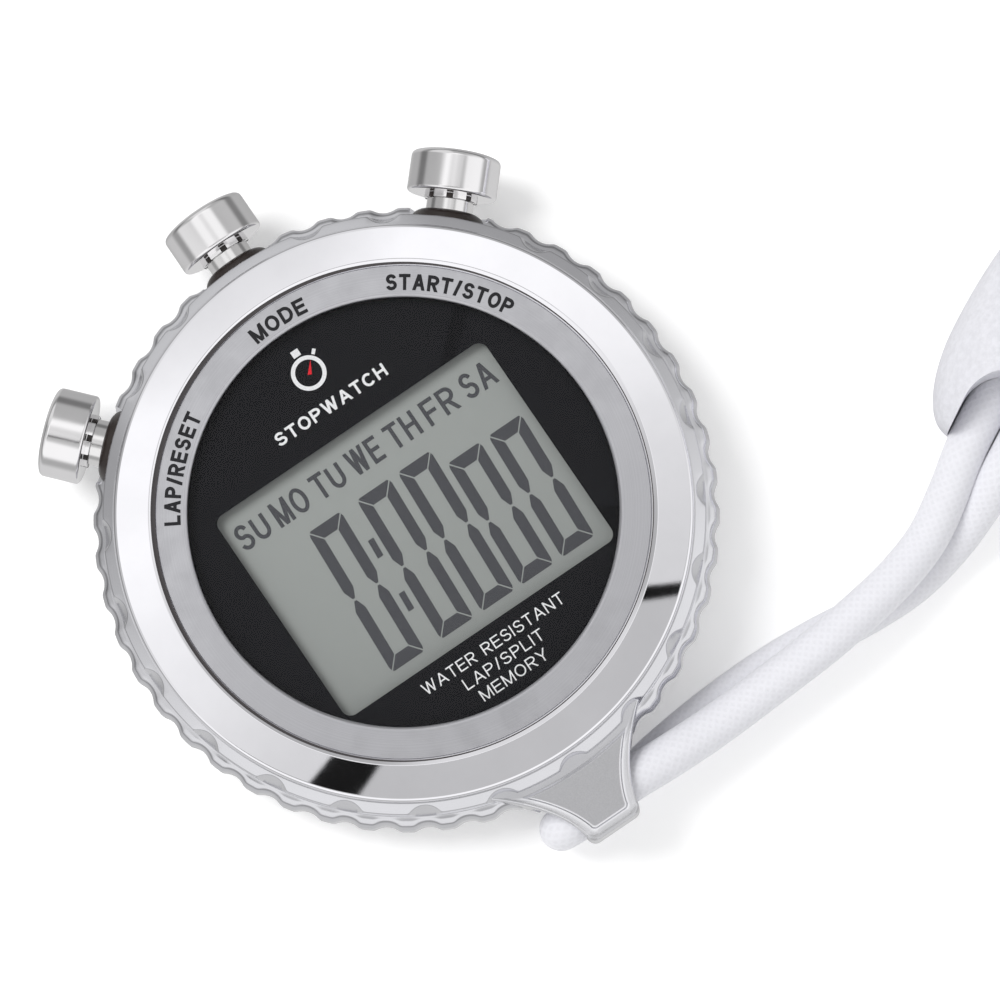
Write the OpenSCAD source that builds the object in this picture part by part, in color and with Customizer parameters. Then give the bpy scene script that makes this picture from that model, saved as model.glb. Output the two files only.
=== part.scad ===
// Hand-held digital stopwatch with three pushers, a lanyard lug and a neck lanyard.
// It lies on its back: the origin is the centre of the flat case back, +Z points up out of
// the dial, +Y to 12 o'clock and +X to 3 o'clock. Millimetres.

/* [Case] */
// Diameter over the crests of the scalloped rim
rim_d = 66.8; // [66.4:0.1:67.4]
// Height of the rim's upper face, where the shoulder rises from it
rim_top = 8.9; // [8.7:0.05:9.1]
// Inside diameter of the case
cavity_d = 51.2; // [51:0.1:51.4]
// Height of the case's front face, which the bezel sits on
case_front_z = 13.0; // [13:0.1:13.4]
// Number of scallops round the rim. The shoulder above it has half as many scoops
scallops = 48; // [36:12:60]

/* [Bezel and dial] */
// Outside diameter of the bezel
bezel_d = 61.4; // [61.2:0.1:61.6]
// Outside diameter of the label ring
label_ring_d = 52.3; // [52.2:0.05:52.4]
// Diameter of the dial that shows inside the label ring
dial_d = 45.6; // [45.4:0.1:45.8]
// Width of the display window
window_w = 34.3; // [33:0.1:34.4]
// Height of the display window, from its 12 o'clock side to its 6 o'clock side
window_h = 25.5; // [24:0.1:25.6]
// How far the display's centre is below the dial's centre, towards 6 o'clock
window_drop = 2.1; // [2:0.05:2.2]

/* [Pushers] */
// Angle between the 12 o'clock pusher and each of its neighbours
pusher_angle = 42; // [40:1:46]
// Diameter of a pusher's cap
cap_d = 9.4; // [8.6:0.1:9.6]
// Length of a pusher's cap
cap_len = 5.4; // [5:0.1:5.8]
// Distance from the watch's centre to the inner face of a cap
cap_reach = 34.3; // [34.3:0.1:34.6]
// Diameter of a pusher's stem
stem_d = 5.0; // [4.8:0.1:5]
// Height of the pushers' axes
pusher_z = 7.6; // [7.55:0.05:7.7]

/* [Lug] */
// Distance from the watch's centre to the lug's end
lug_reach = 40.1; // [39.9:0.1:40.6]
// Width of the lug's end
lug_end_w = 6.4; // [6:0.1:7]
// Height of the raised rim round the lug's front face
lug_top = 11.8; // [11.8:0.1:12.2]
// Diameter of the tunnel that the lanyard runs through
tunnel_d = 5.2; // [5:0.1:5.2]

/* [Lanyard] */
// Diameter of the lanyard cord
cord_d = 4.6; // [4.4:0.1:4.6]
// Largest diameter of the slider bead
bead_d = 18.6; // [18:0.1:18.6]
// Length of the slider bead
bead_len = 28; // [27:0.5:29]

/* [Hidden] */
$fn = 96;

// Pusher directions, turned anticlockwise from +X.
start_dir = 90 - pusher_angle;
mode_dir = 90;
lap_dir = 90 + pusher_angle;

// Case section.
rim_r = rim_d / 2;
cavity_r = cavity_d / 2;
back_opening_r = 24.6;
back_seat_r = 28.8;
back_seat_z = 1.3;
cavity_floor_z = 2.8;
shoulder_top_r = bezel_d / 2 + 0.1;
shoulder_r = rim_r - 1.45;
shoulder_drop = 0.6;
spigot_r = 28.5;
spigot_z = 11.0;
skirt_foot = [29.4, 0.5];
groove_inner_r = 25.0;
groove_outer_r = 25.8;
groove_depth = 0.5;

// Scallops of the rim, and scoops of the shoulder: a scoop leans inwards and runs out below.
// None is cut within lug_clear degrees of the lug or pusher_clear degrees of a pusher.
scallop_r = 2.2;
scallop_depth = 0.5;
scoop_r = 2.4;
scoop_lean = 14;
scoop_foot_r = shoulder_r + 0.05;
lug_clear = 16;
pusher_clear = 9.5;

// Bezel, label ring and crystal stack.
bezel_r = bezel_d / 2;
bezel_top_z = case_front_z + 1.5;
label_ring_r = label_ring_d / 2;
ledge_z = case_front_z - 0.6;
ledge_r = 23.6;
bezel_bottom_z = case_front_z - 1.4;
crystal_r = 24.7;
crystal_z = ledge_z + 0.3;
crystal_t = 1.05;
dial_r = dial_d / 2;
mask_t = 0.15;

// Pushers, measured outwards from the watch's centre.
tube_r = 3.3;
tube_inner_s = cavity_r;
tube_outer_s = 31.0;
tube_end_wall = 0.8;
seal_recess_r = 4.2;
washer_t = 0.6;
running_gap = 0.05;
stem_shoulder_s = 29.9;
stem_end_s = 24.3;
stem_pin_r = 1.0;
cap_bore_r = 1.6;
cap_bore_len = 3.5;
clip_s = 25.1;
clip_t = 0.4;
clip_groove_r = 0.7;
oring_s = 30.55;
oring_section_r = 0.24;
castle_slots = 8;
collar_r = 3;
collar_len = 0.8;

// Module heights, from the case back upwards.
back_t = 1.3;
buzzer_t = 0.3;
strap_t = 0.25;
battery_z = back_t + buzzer_t + strap_t;
battery_t = 3.2;
board_z = 5.6;
board_t = 0.8;
board_top = board_z + board_t;
display_z = 9.4;
frame_top = 11.4;
frame_r = 24.2;
battery_at = [-9, -8];
battery_r = 10;
buzzer_at = [11, 9];
buzzer_r = 10;
display_w = 35.4;
display_h = 26.6;
module_screw_at = [20.9, 7.6];
back_screw_r = 26.9;
back_screw_angle = 25;

// Lug outline: half of the end's width, growing towards the case in a curve.
lug_bottom = 4.9;
lug_recess = 0.5;
lug_rim = 0.9;
lug_root_s = 30;
tunnel_s = 36.6;
tunnel_z = 8.3;

// Lanyard. Strand A leaves the tunnel at 9 o'clock, folds down round the lug and runs back
// under it; strand B leaves it at 3 o'clock and lies on strand A as far as the bead.
cord_sides = 12;
strand_a_route = [
  [0, -36.6, 8.3], [-2, -36.6, 8.3], [-4.1, -36.6, 7.4], [-5, -36.6, 5.3], [-4.1, -36.6, 3.2],
  [-2, -36.6, 2.3], [3, -36.3, 2.3], [9, -35.4, 2.3], [15, -34.8, 2.3], [22, -34.6, 2.3],
  [29, -35.0, 2.3], [35, -35.7, 2.3], [41, -35.8, 2.4], [46.5, -34.8, 3.6], [51.3, -33.2, 6.4],
  [55.8, -31.4, 9.3], [62.8, -27.6, 9.3], [69.8, -23.7, 9.3], [76.8, -19.8, 9.3],
  [80.3, -17.9, 9.2], [84.0, -15.4, 7.6]
];
strand_b_route = [
  [0, -36.6, 8.3], [4, -36.6, 8.3], [9, -36.8, 7.7], [15, -36.8, 6.8], [22, -36.5, 6.6],
  [29, -36.1, 6.8], [34, -35.5, 6.9], [39, -34.7, 6.9], [44.5, -33.0, 6.9], [49.3, -30.2, 8.0],
  [53.6, -27.3, 9.3], [60.6, -23.5, 9.3], [67.6, -19.6, 9.3], [74.6, -15.7, 9.3],
  [78.1, -13.8, 9.3], [82.0, -11.2, 8.9], [84.6, -8.2, 7.9]
];
coil_at = [116, -10];
coil_turn_r = 29.5;
coil_inner_r = 17;
bead_mouth = [54.7, -29.4, 9.35];
bead_heading = 29;
bead_widest = 10.5;
bead_mouth_r = 4.9;
bead_tail_r = 5.2;
bead_hole_w = 4.7;
bead_hole_d = 4.9;
bead_notch = 8.3;

// Points of an arc about a centre, from angle a to angle b.
function arc(centre, r, a, b, n) =
  [for (i = [0:n]) centre + r * [cos(a + (b - a) * i / n), sin(a + (b - a) * i / n)]];

// Outline of a rectangle about the origin with round corners.
function round_rectangle(w, h, r, n = 6) = concat(
  arc([w / 2 - r, h / 2 - r], r, 0, 90, n), arc([r - w / 2, h / 2 - r], r, 90, 180, n),
  arc([r - w / 2, r - h / 2], r, 180, 270, n), arc([w / 2 - r, r - h / 2], r, 270, 360, n));

// Half-width of the lug at a distance s from the watch's centre.
function lug_half_w(s) =
  let (t = max(0, lug_reach - 0.8 - s)) lug_end_w / 2 + 0.2 * t + 0.055 * t * t;

// Outline of the lug, drawn in by inset on its end and its two flanks.
function lug_outline(inset, steps = 12) = concat(
  [for (i = [0:steps])
    let (s = lug_root_s + (lug_reach - 0.8 - lug_root_s - inset) * i / steps)
    [lug_half_w(s) - inset, -s]],
  [[lug_end_w / 2 - 0.7 - inset * 0.6, inset - lug_reach]],
  [[0.7 + inset * 0.6 - lug_end_w / 2, inset - lug_reach]],
  [for (i = [steps:-1:0])
    let (s = lug_root_s + (lug_reach - 0.8 - lug_root_s - inset) * i / steps)
    [inset - lug_half_w(s), -s]]);

// Direction of a route at its point i.
function unit(v) = v / norm(v);
function heading(p, i) =
  unit(p[min(i + 1, len(p) - 1)] - p[max(i - 1, 0)]);

// A round tube swept along a route, with one ring of points at each route point.
module swept_tube(route, d, sides) {
  aside = [0.6, -0.6, 0.53];
  points = [for (i = [0:len(route) - 1])
    let (t = heading(route, i), u = unit(cross(aside, t)), v = cross(t, u))
    for (k = [0:sides - 1])
      route[i] + d / 2 * (cos(360 * k / sides) * u + sin(360 * k / sides) * v)];
  last = (len(route) - 1) * sides;
  walls = [for (i = [0:len(route) - 2], k = [0:sides - 1])
    let (a = i * sides + k, b = i * sides + (k + 1) % sides)
    each [[a, a + sides, b + sides], [a, b + sides, b]]];
  ends = [[for (k = [0:sides - 1]) k], [for (k = [sides - 1:-1:0]) last + k]];
  polyhedron(points, concat(walls, ends));
}

// A round wire wound into a helix that stands on z = 0.
module helix(mean_r, wire_d, height, turns, per_turn, sides) {
  count = turns * per_turn;
  rise = height - wire_d;
  swept_tube([for (i = [0:count])
    [mean_r * cos(360 * i / per_turn), mean_r * sin(360 * i / per_turn),
     wire_d / 2 + rise * i / count]], wire_d, sides);
}

// Puts what is drawn along +Z on a pusher's axis, with z measured from the watch's centre.
module on_pusher(direction) {
  translate([0, 0, pusher_z]) rotate([0, 0, direction]) rotate([0, 90, 0]) children();
}

// A ring of rectangular section.
module ring(inner_r, outer_r, z0, z1) {
  rotate_extrude() polygon([[inner_r, z0], [outer_r, z0], [outer_r, z1], [inner_r, z1]]);
}

// Puts a copy at each of the four case back screws.
module at_back_screws() {
  for (a = [back_screw_angle, 180 - back_screw_angle, 180 + back_screw_angle, -back_screw_angle])
    rotate([0, 0, a]) translate([back_screw_r, 0, 0]) children();
}

// Puts a copy at each of the four module screws.
module at_module_screws() {
  for (x = [-1, 1], y = [-1, 1])
    translate([x * module_screw_at[0], y * module_screw_at[1], 0]) children();
}

module case_section() {
  polygon([
    [back_opening_r, back_seat_z], [back_seat_r, back_seat_z], [back_seat_r, skirt_foot[1]],
    skirt_foot, [rim_r - 2, 2.4], [rim_r - 0.5, 3.4], [rim_r, 4.4], [rim_r, rim_top - 1.5],
    [rim_r - 0.3, rim_top - 0.6], [rim_r - 0.9, rim_top - 0.1], [shoulder_r, rim_top],
    [shoulder_r, case_front_z - shoulder_drop], [shoulder_top_r, case_front_z],
    [spigot_r, case_front_z], [spigot_r, spigot_z],
    [cavity_r, spigot_z], [cavity_r, cavity_floor_z], [back_opening_r, cavity_floor_z]
  ]);
}

module lug() {
  difference() {
    translate([0, 0, lug_bottom])
      linear_extrude(lug_top - lug_bottom) polygon(lug_outline(0));
    translate([0, 0, lug_top - lug_recess]) linear_extrude(lug_recess + 1)
      difference() {
        polygon(lug_outline(lug_rim));
        circle(r = shoulder_r);
      }
    translate([-12, -tunnel_s, tunnel_z]) rotate([0, 90, 0]) cylinder(h = 24, d = tunnel_d);
    // The lower lip of each mouth is cut back, so that the cord can turn down round it.
    for (side = [-1, 1])
      translate([side * 5.6, 0.15 - tunnel_s, lug_bottom - 0.4]) rotate([90, 0, 0])
        cylinder(h = tunnel_d - 0.1, r = 3.7, center = true);
  }
}

// Is the rim free of the lug and of the pushers at angle a?
function rim_is_free(a) =
  abs(a - 270) > lug_clear && min([for (p = [start_dir, mode_dir, lap_dir]) abs(a - p)]) > pusher_clear;

module rim_scallops() {
  for (i = [0:scallops - 1]) let (a = 360 * i / scallops) if (rim_is_free(a))
    rotate([0, 0, a]) translate([rim_r + scallop_r - scallop_depth, 0, 0])
      cylinder(h = rim_top, r = scallop_r);
}

module shoulder_scoops() {
  for (i = [0:scallops / 2 - 1]) let (a = 720 * i / scallops) if (rim_is_free(a))
    rotate([0, 0, a]) translate([scoop_foot_r, 0, rim_top + 0.1]) rotate([0, -scoop_lean, 0])
      translate([scoop_r, 0, 0]) cylinder(h = 8, r = scoop_r);
}

module case_middle() {
  color("gainsboro") difference() {
    union() {
      difference() {
        // Turned by half a scallop, so that the ring's start lies on a crest.
        rotate([0, 0, 180 / scallops]) rotate_extrude() case_section();
        rim_scallops();
        shoulder_scoops();
      }
      difference() {
        lug();
        cylinder(h = 40, r = lug_root_s + 0.5, center = true);
      }
    }
    for (a = [start_dir, mode_dir, lap_dir]) {
      on_pusher(a) cylinder(h = tube_outer_s + 0.1, r = tube_r);
      on_pusher(a) translate([0, 0, tube_outer_s]) cylinder(h = 8, r = seal_recess_r);
    }
    ring(groove_inner_r, groove_outer_r, back_seat_z - 0.1, back_seat_z + groove_depth);
    at_back_screws() translate([0, 0, back_seat_z - 0.1]) cylinder(h = 3.6, r = 0.8);
  }
}

module bezel() {
  color("white") rotate_extrude() polygon([
    [ledge_r, bezel_bottom_z], [27.2, bezel_bottom_z], [27.2, spigot_z], [spigot_r, spigot_z],
    [spigot_r, case_front_z], [bezel_r, case_front_z], [bezel_r, case_front_z + 0.7],
    [bezel_r - 0.3, case_front_z + 1.0], [label_ring_r + 0.7, bezel_top_z],
    [label_ring_r + 0.3, bezel_top_z - 0.3], [label_ring_r + 0.15, bezel_top_z - 0.3],
    [label_ring_r, bezel_top_z - 0.5], [label_ring_r, ledge_z], [ledge_r, ledge_z]
  ]);
}

module label_ring() {
  crystal_top = crystal_z + crystal_t;
  color("darkgray") rotate_extrude() polygon([
    [crystal_r + 0.05, ledge_z], [label_ring_r, ledge_z], [label_ring_r, crystal_top + 0.3],
    [dial_r + 0.3, crystal_top + 0.65], [dial_r, crystal_top + 0.4], [dial_r, crystal_top],
    [crystal_r + 0.05, crystal_top]
  ]);
}

module crystal() {
  color("lightcyan", 0.3) translate([0, 0, crystal_z]) cylinder(h = crystal_t, r = crystal_r);
}

module crystal_gasket() {
  color("black") ring(ledge_r, crystal_r, ledge_z, crystal_z);
}

module dial_mask() {
  color("black") translate([0, 0, crystal_z - mask_t]) linear_extrude(mask_t) difference() {
    circle(r = ledge_r - 0.1);
    translate([0, -window_drop]) polygon(round_rectangle(window_w, window_h, 1));
  }
}

module case_back() {
  color("silver") difference() {
    rotate_extrude() polygon([
      [0, 0], [27.6, 0], [back_seat_r - 0.05, 0.6], [back_seat_r - 0.05, back_t], [0, back_t]
    ]);
    at_back_screws() {
      translate([0, 0, -0.1]) cylinder(h = 2, r = 0.85);
      translate([0, 0, -0.01]) cylinder(h = 0.61, r1 = 1.46, r2 = 0.85);
    }
  }
}

module back_gasket() {
  color("black") ring(groove_inner_r, groove_outer_r, back_seat_z, back_seat_z + groove_depth);
}

module back_screws() {
  color("silver") at_back_screws() difference() {
    union() {
      translate([0, 0, 0.05]) cylinder(h = 0.55, r1 = 1.4, r2 = 0.8);
      translate([0, 0, 0.3]) cylinder(h = 4.2, r = 0.8);
    }
    // Cross recess.
    translate([0, 0, 0.2]) cube([1.6, 0.35, 0.6], center = true);
    translate([0, 0, 0.2]) cube([0.35, 1.6, 0.6], center = true);
  }
}

module lcd_panel() {
  color("darkseagreen") translate([-display_w / 2, -window_drop - display_h / 2, 0]) {
    translate([0, 0, display_z]) cube([display_w, display_h, 1]);
    translate([0, 0.9, display_z + 1]) cube([display_w, display_h - 1.8, 0.95]);
  }
}

module lcd_reflector() {
  color("lightgray") translate([-16.5, -window_drop - 10.4, display_z - 0.25])
    cube([33, 20.8, 0.25]);
}

module zebra_strips() {
  color("slategray") for (side = [-1, 1])
    translate([-16.5, side * 11.5 - window_drop - 0.9, board_top])
      cube([33, 1.8, display_z - board_top]);
}

module lcd_frame() {
  color("whitesmoke") difference() {
    translate([0, 0, board_top]) cylinder(h = frame_top - board_top, r = frame_r);
    translate([-display_w / 2 - 0.1, -window_drop - display_h / 2 - 0.1, display_z])
      cube([display_w + 0.2, display_h + 0.2, 4]);
    translate([-16.8, -window_drop - 12.5, board_top - 1]) cube([33.6, 25, 5]);
    for (a = [start_dir, mode_dir, lap_dir]) on_pusher(a)
      translate([-2.2, -3.2, 22.3]) cube([4, 6.4, 4]);
    at_module_screws() translate([0, 0, board_top - 1]) cylinder(h = 4, r = 0.8);
  }
}

module circuit_board() {
  color("seagreen") difference() {
    translate([0, 0, board_z]) cylinder(h = board_t, r = frame_r - 0.2);
    at_module_screws() translate([0, 0, board_z - 1]) cylinder(h = 3, r = 0.9);
  }
}

module chip_cover() {
  color("black") translate([8, -11, board_z]) rotate([180, 0, 0])
    rotate_extrude() polygon([[0, 0], [4, 0], [3.7, 0.6], [2.9, 1.1], [1.6, 1.45], [0, 1.6]]);
}

module quartz_crystal() {
  color("silver") translate([9.5, -4.9, board_z - 1]) rotate([0, 90, 0]) cylinder(h = 6, r = 1);
}

module chip_parts() {
  color("tan") {
    for (i = [0:3]) translate([2 + 2.6 * i, -18.4, board_z - 0.6]) cube([1.6, 0.9, 0.6]);
    for (i = [0:2]) translate([14.5, -14.5 + 2 * i, board_z - 0.8]) cube([2, 1.25, 0.8]);
  }
}

module battery_frame() {
  foot = battery_z + 0.1;
  color("whitesmoke") difference() {
    translate([0, 0, foot]) cylinder(h = board_z - foot, r = frame_r - 0.1);
    translate([battery_at[0], battery_at[1], 0]) cylinder(h = 10, r = battery_r + 0.2);
    // Pocket over the chip side of the board.
    translate([1.5, -19.2, 0]) cube([15.6, 16.4, 10]);
    for (x = [-3, 3]) translate([buzzer_at[0] + x, buzzer_at[1], 0]) cylinder(h = 10, r = 1.4);
    at_module_screws() {
      cylinder(h = 10, r = 0.9);
      cylinder(h = foot + 1.2, r = 1.6);
    }
  }
}

module battery() {
  color("silver") translate([battery_at[0], battery_at[1], battery_z]) {
    rotate_extrude() polygon([
      [0, 0], [battery_r - 0.3, 0], [battery_r, 0.3], [battery_r, 2.6], [battery_r - 0.5, 2.8],
      [battery_r - 1.2, 2.8], [battery_r - 1.2, battery_t], [0, battery_t]
    ]);
  }
}

module battery_strap() {
  color("silver") translate([battery_at[0], battery_at[1], battery_z - strap_t])
    translate([-9, -2.5, 0]) cube([18, 5, strap_t]);
}

module battery_contact() {
  top = battery_z + battery_t;
  color("gold") translate([battery_at[0], battery_at[1], 0]) {
    translate([-6, -2, board_z - 0.2]) cube([12, 4, 0.2]);
    for (x = [-4, 4]) translate([x, 0, top]) cylinder(h = board_z - 0.2 - top, r = 1);
  }
}

module module_screws() {
  head_z = battery_z + 0.3;
  color("silver") at_module_screws() difference() {
    union() {
      translate([0, 0, head_z]) cylinder(h = 1, r = 1.4);
      translate([0, 0, head_z + 0.5]) cylinder(h = 6.5, r = 0.8);
    }
    translate([0, 0, head_z]) cube([1.6, 0.35, 1], center = true);
    translate([0, 0, head_z]) cube([0.35, 1.6, 1], center = true);
  }
}

module buzzer_disc() {
  color("goldenrod") translate([buzzer_at[0], buzzer_at[1], back_t]) {
    cylinder(h = buzzer_t - 0.1, r = buzzer_r);
    cylinder(h = buzzer_t, r = buzzer_r - 2);
  }
}

module buzzer_springs() {
  height = board_z - back_t - buzzer_t;
  color("silver") for (x = [-3, 3])
    translate([buzzer_at[0] + x, buzzer_at[1], back_t + buzzer_t])
      helix(mean_r = 0.95, wire_d = 0.3, height = height, turns = 6, per_turn = 10, sides = 5);
}

// Leaf spring that a stem presses: a foot on the board and an upright blade.
module switch_contact(direction) {
  color("gold") on_pusher(direction) {
    foot_z = pusher_z - board_top;
    translate([foot_z - 0.2, -1.5, 22.4]) cube([0.2, 3, 1.4]);
    translate([-1.6, -1.5, 23.6]) cube([foot_z + 1.6, 3, 0.2]);
  }
}

module pusher_cap(direction) {
  r = cap_d / 2;
  skirt = cap_reach + collar_len;
  end = cap_reach + cap_len;
  color("gainsboro") on_pusher(direction) difference() {
    rotate_extrude() polygon([
      [cap_bore_r, cap_reach], [collar_r, cap_reach], [collar_r, skirt + 0.6],
      [r - 0.8, skirt + 0.6], [r - 0.8, skirt], [r - 0.3, skirt], [r, skirt + 0.3], [r, end - 0.8],
      [r - 0.25, end - 0.3], [r - 0.8, end], [0, end], [0, cap_reach + cap_bore_len],
      [cap_bore_r, cap_reach + cap_bore_len]
    ]);
    // Slots that turn the collar under the cap into a castle wall.
    for (i = [0:castle_slots - 1]) rotate([0, 0, 360 * i / castle_slots])
      translate([2.4, -0.38, cap_reach - 0.1]) cube([1, 0.76, 0.8]);
  }
}

module pusher_stem(direction) {
  r = stem_d / 2;
  color("silver") on_pusher(direction) rotate_extrude() polygon([
    [0, stem_end_s], [stem_pin_r - 0.2, stem_end_s], [stem_pin_r, stem_end_s + 0.2],
    [stem_pin_r, clip_s], [clip_groove_r, clip_s], [clip_groove_r, clip_s + clip_t],
    [stem_pin_r, clip_s + clip_t], [stem_pin_r, stem_shoulder_s], [r, stem_shoulder_s],
    [r, oring_s - 0.3], [r - 0.45, oring_s - 0.3], [r - 0.45, oring_s + 0.3],
    [r, oring_s + 0.3], [r, cap_reach], [cap_bore_r, cap_reach],
    [cap_bore_r, cap_reach + cap_bore_len], [0, cap_reach + cap_bore_len]
  ]);
}

module pusher_oring(direction) {
  color("black") on_pusher(direction) translate([0, 0, oring_s]) rotate_extrude()
    translate([stem_d / 2 - 0.2, 0]) circle(r = oring_section_r, $fn = 32);
}

module pusher_spring(direction) {
  foot = tube_inner_s + tube_end_wall;
  color("silver") on_pusher(direction) translate([0, 0, foot])
    helix(mean_r = 1.75, wire_d = 0.4, height = stem_shoulder_s - foot, turns = 4,
      per_turn = 16, sides = 6);
}

module pusher_clip(direction) {
  color("dimgray") on_pusher(direction) difference() {
    ring(clip_groove_r, 1.8, clip_s, clip_s + clip_t);
    translate([0, -0.6, clip_s - 1]) cube([3, 1.2, 3]);
  }
}

module pusher_tube(direction) {
  bore = stem_d / 2 + running_gap;
  pin_bore = stem_pin_r + running_gap;
  color("silver") on_pusher(direction) rotate_extrude() polygon([
    [pin_bore, tube_inner_s], [tube_r, tube_inner_s], [tube_r, tube_outer_s],
    [bore, tube_outer_s], [bore, tube_inner_s + tube_end_wall],
    [pin_bore, tube_inner_s + tube_end_wall]
  ]);
}

module pusher_washer(direction) {
  color("black") on_pusher(direction)
    ring(stem_d / 2 + 0.1, seal_recess_r - 0.05, tube_outer_s, tube_outer_s + washer_t);
}

// Half of the bead's outline, from its mouth to its tail.
function bead_outline(n = 10) = concat(
  [for (i = [0:n]) let (a = 90 * i / n)
    [bead_mouth_r + (bead_d / 2 - bead_mouth_r) * sin(a), bead_widest * (1 - cos(a))]],
  [for (i = [1:n]) let (a = 90 * i / n)
    [bead_tail_r + (bead_d / 2 - bead_tail_r) * cos(a),
     bead_widest + (bead_len - bead_widest) * sin(a)]]);

module lanyard_bead() {
  notch_w = (bead_hole_w + bead_hole_d) / 2;
  color("white") translate(bead_mouth) rotate([0, 0, bead_heading]) difference() {
    rotate([0, 90, 0]) difference() {
      rotate_extrude() polygon(concat([[0, 0]], bead_outline(), [[0, bead_len]]));
      translate([0, 0, -1]) linear_extrude(bead_len + 2) polygon(concat(
        arc([0, bead_hole_w / 2], bead_hole_d / 2, 0, 180, 8),
        arc([0, -bead_hole_w / 2], bead_hole_d / 2, 180, 360, 8)));
    }
    // Round notch over the strands, from which they go into the hole.
    linear_extrude(12) polygon(concat([[-1, notch_w], [-1, -notch_w]],
      arc([bead_notch - notch_w, 0], notch_w, -90, 90, 12)));
  }
}

module lanyard_strand(route) {
  color("snow") swept_tube(route, cord_d, cord_sides);
}

// Outer shape of the wound cord: two layers of turns round an inner loop of one layer.
module lanyard_coil() {
  r = coil_turn_r + cord_d / 2 + 0.1;
  high = 2 * cord_d + 0.1;
  low = cord_d + 0.2;
  color("snow") translate([coil_at[0], coil_at[1], 0]) rotate_extrude() polygon([
    [0, 0], [r - 1.2, 0], [r, 1.2], [r, high - 1.2], [r - 1.2, high],
    [coil_inner_r + 0.8, high], [coil_inner_r, high - 0.8], [coil_inner_r, low], [0, low]
  ]);
}

case_middle();
bezel();
label_ring();
crystal();
crystal_gasket();
dial_mask();
case_back();
back_gasket();
back_screws();
lcd_panel();
lcd_reflector();
zebra_strips();
lcd_frame();
circuit_board();
chip_cover();
quartz_crystal();
chip_parts();
battery_frame();
battery();
battery_strap();
battery_contact();
module_screws();
buzzer_disc();
buzzer_springs();
switch_contact(start_dir);  // contact_start
switch_contact(mode_dir);  // contact_mode
switch_contact(lap_dir);  // contact_lap
pusher_cap(start_dir);  // cap_start
pusher_cap(mode_dir);  // cap_mode
pusher_cap(lap_dir);  // cap_lap
pusher_stem(start_dir);  // stem_start
pusher_stem(mode_dir);  // stem_mode
pusher_stem(lap_dir);  // stem_lap
pusher_oring(start_dir);  // oring_start
pusher_oring(mode_dir);  // oring_mode
pusher_oring(lap_dir);  // oring_lap
pusher_spring(start_dir);  // spring_start
pusher_spring(mode_dir);  // spring_mode
pusher_spring(lap_dir);  // spring_lap
pusher_clip(start_dir);  // clip_start
pusher_clip(mode_dir);  // clip_mode
pusher_clip(lap_dir);  // clip_lap
pusher_tube(start_dir);  // tube_start
pusher_tube(mode_dir);  // tube_mode
pusher_tube(lap_dir);  // tube_lap
pusher_washer(start_dir);  // washer_start
pusher_washer(mode_dir);  // washer_mode
pusher_washer(lap_dir);  // washer_lap
lanyard_strand(strand_a_route);  // lanyard_strand_a
lanyard_strand(strand_b_route);  // lanyard_strand_b
lanyard_coil();
lanyard_bead();
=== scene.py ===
"""Looks of a digital stopwatch on a white neck lanyard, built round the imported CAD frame.

The watch lies on its back: +Z points up out of the dial, +Y to 12 o'clock, +X to 3 o'clock.
Shapes are written in millimetres and become metres where a mesh is made.
"""

import math

import bmesh
import bpy
from mathutils import Matrix, Vector


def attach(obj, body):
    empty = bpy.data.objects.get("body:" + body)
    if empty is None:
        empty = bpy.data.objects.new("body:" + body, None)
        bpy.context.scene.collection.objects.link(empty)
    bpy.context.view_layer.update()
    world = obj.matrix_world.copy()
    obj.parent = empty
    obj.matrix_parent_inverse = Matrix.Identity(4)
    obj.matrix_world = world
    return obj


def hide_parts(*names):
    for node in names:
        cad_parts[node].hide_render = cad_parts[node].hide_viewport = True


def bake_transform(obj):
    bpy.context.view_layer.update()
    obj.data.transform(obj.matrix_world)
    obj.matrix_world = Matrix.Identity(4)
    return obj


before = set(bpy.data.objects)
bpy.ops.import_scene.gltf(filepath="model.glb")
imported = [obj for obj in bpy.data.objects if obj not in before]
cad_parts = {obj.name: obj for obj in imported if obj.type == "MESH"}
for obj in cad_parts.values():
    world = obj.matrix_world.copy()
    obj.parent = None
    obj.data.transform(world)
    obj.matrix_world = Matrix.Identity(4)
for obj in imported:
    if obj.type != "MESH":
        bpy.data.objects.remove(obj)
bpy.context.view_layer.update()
MM = 0.001

# Radii, heights and distances from the watch's centre (S), most of them shared with the CAD model.
RIM_R, RIM_TOP = 33.4, 8.9
SHOULDER_R, SHOULDER_DROP = 31.95, 0.6
CASE_TOP, TOP_R = 13.0, 30.8
CAVITY_R, SEAT_R, SEAT_Z = 25.6, 28.5, 11.0
BEZEL_R = 30.7
BEZEL_TOP = CASE_TOP + 1.5
LEDGE_Z = CASE_TOP - SHOULDER_DROP
LABEL_RING_R = 26.15
DIAL_R = 22.8
CRYSTAL_Z, CRYSTAL_T, CRYSTAL_R = LEDGE_Z + 0.3, 1.05, 24.7
RING_OUTER_Z = CRYSTAL_Z + CRYSTAL_T + 0.3
RING_INNER_Z = CRYSTAL_Z + CRYSTAL_T + 0.65
MASK_R, MASK_T = 24.1, 0.15
WINDOW_W, WINDOW_H, WINDOW_Y = 34.3, 25.5, -2.1
SEGMENT_Z, DIGIT_SLANT = 11.352, 0.0511
PUSHER_Z, TUBE_END_S, RECESS_R, TUBE_R = 7.6, 31.0, 4.2, 3.3
CAP_R, CAP_LEN, CAP_REACH, STEM_R = 4.7, 5.4, 34.3, 2.5
COLLAR_R, COLLAR_LEN, CASTLE_SLOTS, BARREL_SWELL = 2.85, 0.6, 8, 0.12
SPRING_FOOT_S, SHOULDER_S, LEAF_S, BOARD_TOP = 26.4, 29.9, 23.7, 6.4
PUSHERS = {"start": 48, "mode": 90, "lap": 132}
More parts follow.
